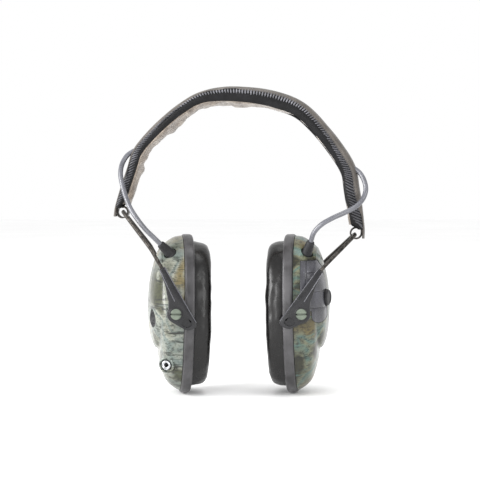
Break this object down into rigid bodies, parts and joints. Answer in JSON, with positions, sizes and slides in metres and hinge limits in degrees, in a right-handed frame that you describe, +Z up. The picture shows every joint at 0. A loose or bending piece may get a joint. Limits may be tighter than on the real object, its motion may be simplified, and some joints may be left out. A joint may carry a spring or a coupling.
{
  "type": "earmuff hearing protector",
  "caption": "Folding over-ear hearing protector with padded band, wire yokes, oval padded cups, microphone, input jack and volume knob.",
  "frame": {"origin": "centre of the bounding box at its lowest point, below and between the two ear cups, without the leads", "axes": "+X from the left cup to the right cup of the picture, -Y to the front, +Z up to the crown of the headband"},
  "size_m": [0.1817, 0.0975, 0.2195],
  "materials": {
    "camouflage_shell": "gloss woodland camouflage film over moulded plastic",
    "black_plastic": "satin moulded black plastic",
    "cushion_vinyl": "soft black vinyl skin over foam",
    "band_vinyl": "grey-brown vinyl with black stitched sides",
    "band_lining": "wrinkled beige-brown lining cloth",
    "foam": "open-cell charcoal foam",
    "dark_steel": "dark spring steel",
    "bright_metal": "bright plated metal",
    "cable_sheath": "grey soft cable sheath with a slight sheen",
    "black_rubber": "matt black rubber",
    "circuit_laminate": "green solder mask",
    "cell_sleeve": "printed metal sleeve without lettering"
  },
  "bodies": {
    "headband": {"headband_cover": "band_vinyl", "headband_lining": "band_lining", "headband_foam": "foam", "spring_band": "dark_steel", "headband_lead": "cable_sheath", "left_lead_upper": "cable_sheath", "right_lead_upper": "cable_sheath"},
    "left_yoke": {"left_yoke_wire": "dark_steel", "left_lead_middle": "cable_sheath"},
    "left_arms": {"left_front_arm": "black_plastic", "left_rear_arm": "black_plastic"},
    "left_cup": {"left_rim": "black_plastic", "left_cushion": "cushion_vinyl", "left_cushion_plate": "black_plastic", "left_liner_foam": "foam", "left_speaker_baffle": "black_plastic", "left_speaker_driver": "dark_steel", "left_circuit_board": "circuit_laminate", "left_microphone": "bright_metal", "left_microphone_cover": "black_plastic", "left_strain_relief": "black_rubber", "left_shell": "camouflage_shell", "left_shell_screw_1": "dark_steel", "left_shell_screw_2": "dark_steel", "left_shell_screw_3": "dark_steel", "left_shell_screw_4": "dark_steel", "left_lead_lower": "cable_sheath", "jack_bushing": "bright_metal", "jack_body": "black_plastic"},
    "right_yoke": {"right_yoke_wire": "dark_steel", "right_lead_middle": "cable_sheath"},
    "right_arms": {"right_front_arm": "black_plastic", "right_rear_arm": "black_plastic"},
    "right_cup": {"right_rim": "black_plastic", "right_cushion": "cushion_vinyl", "right_cushion_plate": "black_plastic", "right_liner_foam": "foam", "right_speaker_baffle": "black_plastic", "right_speaker_driver": "dark_steel", "right_circuit_board": "circuit_laminate", "right_microphone": "bright_metal", "right_microphone_cover": "black_plastic", "right_strain_relief": "black_rubber", "right_shell": "camouflage_shell", "right_shell_screw_1": "dark_steel", "right_shell_screw_2": "dark_steel", "right_shell_screw_3": "dark_steel", "right_shell_screw_4": "dark_steel", "right_lead_lower": "cable_sheath", "side_panel": "black_plastic", "volume_potentiometer": "dark_steel", "battery_cell_1": "cell_sleeve", "battery_cell_2": "cell_sleeve", "battery_contact_upper": "bright_metal", "battery_contact_lower": "bright_metal"},
    "volume_knob": {"volume_knob": "black_plastic"},
    "battery_door": {"battery_door": "camouflage_shell"}
  },
  "joints": [
    {"name": "left_fold", "type": "hinge", "parent": "headband", "child": "left_yoke", "pos_m": [-0.0837, -0.00265, 0.1298], "axis": [-0.0698, 0.9976, 0], "range_deg": [-75, 0], "deforming": ["left_lead_upper", "left_lead_middle", "left_lead_lower"]},
    {"name": "left_height", "type": "slide", "parent": "left_yoke", "child": "left_arms", "axis": [0.4912, 0.0343, -0.8704], "range_m": [-0.013, 0.017], "deforming": ["left_lead_upper", "left_lead_middle", "left_lead_lower"]},
    {"name": "left_cup_tilt", "type": "hinge", "parent": "left_arms", "child": "left_cup", "pos_m": [-0.0465, -0.00005, 0.0602], "axis": [-0.0698, 0.9976, 0], "range_deg": [0, 86.25], "deforming": ["left_lead_upper", "left_lead_middle", "left_lead_lower"]},
    {"name": "right_fold", "type": "hinge", "parent": "headband", "child": "right_yoke", "pos_m": [0.0843, -0.00265, 0.1149], "axis": [0.0698, 0.9976, 0], "range_deg": [0, 82], "deforming": ["right_lead_upper", "right_lead_middle", "right_lead_lower"]},
    {"name": "right_height", "type": "slide", "parent": "right_yoke", "child": "right_arms", "axis": [0.5934, -0.0415, 0.8039], "range_m": [-0.03, 0], "deforming": ["right_lead_upper", "right_lead_middle", "right_lead_lower"]},
    {"name": "right_cup_tilt", "type": "hinge", "parent": "right_arms", "child": "right_cup", "pos_m": [0.0465, -0.00001, 0.0602], "axis": [0.0698, 0.9976, 0], "range_deg": [-82, 0], "deforming": ["right_lead_upper", "right_lead_middle", "right_lead_lower"]},
    {"name": "volume_turn", "type": "hinge", "parent": "right_cup", "child": "volume_knob", "pos_m": [0.06175, -0.02067, 0.07005], "axis": [0.9219, -0.3869, 0.0198], "range_deg": [0, 300]},
    {"name": "battery_door_hinge", "type": "hinge", "parent": "right_cup", "child": "battery_door", "pos_m": [0.06069, -0.0015, 0.03289], "axis": [0.1132, 0.9936, 0.0009], "range_deg": [0, 100]}
  ],
  "couplings": [
    {"joint": "left_cup_tilt", "follows": "left_fold", "ratio": -1.15},
    {"joint": "right_cup_tilt", "follows": "right_fold", "ratio": -1}
  ]
}
